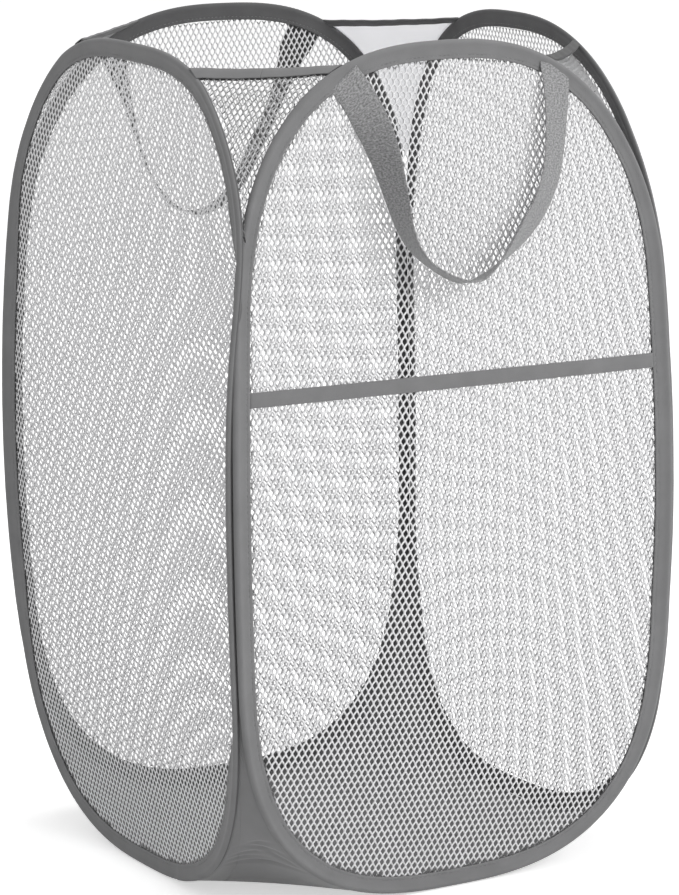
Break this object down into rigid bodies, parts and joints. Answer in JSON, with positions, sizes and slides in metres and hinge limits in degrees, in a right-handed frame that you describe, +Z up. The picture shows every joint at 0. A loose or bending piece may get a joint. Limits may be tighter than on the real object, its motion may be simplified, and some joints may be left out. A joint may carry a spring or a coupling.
{
  "type": "pop up laundry hamper",
  "caption": "Tall open-topped collapsible laundry hamper: sprung oval hoops with net panels, sewn edge to edge round a cloth base, with webbing carrying handles.",
  "frame": {"origin": "on the floor under the middle of the base, at the middle of the bounding box", "axes": "+Z up, -Y out of the front panel, +X towards the right panel as seen from the front"},
  "size_m": [0.3616, 0.413, 0.61],
  "materials": {
    "binding_tape": "grey woven polyester tape",
    "net": "pale grey knitted mesh",
    "base_cloth": "grey coated woven polyester",
    "sheer_cloth": "thin pale plain cloth",
    "webbing": "grey woven webbing",
    "spring_wire": "bright spring steel"
  },
  "bodies": {
    "front_panel": {"hoop_wire_front": "spring_wire", "ferrule_front": "spring_wire", "binding_front": "binding_tape", "net_front": "net", "front_tape": "binding_tape", "corner_net_front_left": "net", "corner_edging_front_left": "binding_tape", "corner_net_front_right": "net", "corner_edging_front_right": "binding_tape", "base_sheet": "base_cloth"},
    "right_panel": {"hoop_wire_right": "spring_wire", "ferrule_right": "spring_wire", "binding_right": "binding_tape", "net_right": "net", "corner_cloth_back_right": "sheer_cloth", "corner_edging_back_right": "binding_tape"},
    "back_panel": {"hoop_wire_back": "spring_wire", "ferrule_back": "spring_wire", "binding_back": "binding_tape", "net_back": "net", "corner_net_back_left": "net", "corner_edging_back_left": "binding_tape"},
    "left_panel": {"hoop_wire_left": "spring_wire", "ferrule_left": "spring_wire", "binding_left": "binding_tape", "net_left": "net"},
    "handle_front": {"handle_front": "webbing"},
    "handle_back": {"handle_back": "webbing"}
  },
  "joints": [
    {"name": "fold_front_right", "type": "hinge", "parent": "front_panel", "child": "right_panel", "pos_m": [0.17715, -0.17715, 0.305], "axis": [0, 0, -1], "range_deg": [0, 86], "stiffness_Nm_per_rad": 0.3, "deforming": ["corner_net_front_left", "corner_edging_front_left", "corner_net_front_right", "corner_edging_front_right", "base_sheet"]},
    {"name": "fold_back_right", "type": "hinge", "parent": "right_panel", "child": "back_panel", "pos_m": [0.17554, 0.17554, 0.305], "axis": [0, 0, 1], "range_deg": [0, 86], "deforming": ["corner_cloth_back_right", "corner_edging_back_right"]},
    {"name": "fold_back_left", "type": "hinge", "parent": "back_panel", "child": "left_panel", "pos_m": [-0.17715, 0.17715, 0.305], "axis": [0, 0, -1], "range_deg": [0, 86], "deforming": ["corner_net_back_left", "corner_edging_back_left"]},
    {"name": "handle_front_swing", "type": "hinge", "parent": "front_panel", "child": "handle_front", "pos_m": [0, -0.18069, 0.57868], "axis": [-1, 0, 0], "range_deg": [0, 175]},
    {"name": "handle_back_swing", "type": "hinge", "parent": "back_panel", "child": "handle_back", "pos_m": [0, 0.18069, 0.57868], "axis": [1, 0, 0], "range_deg": [0, 175]}
  ],
  "couplings": [
    {"joint": "fold_back_right", "follows": "fold_front_right", "ratio": 1},
    {"joint": "fold_back_left", "follows": "fold_front_right", "ratio": 1}
  ]
}
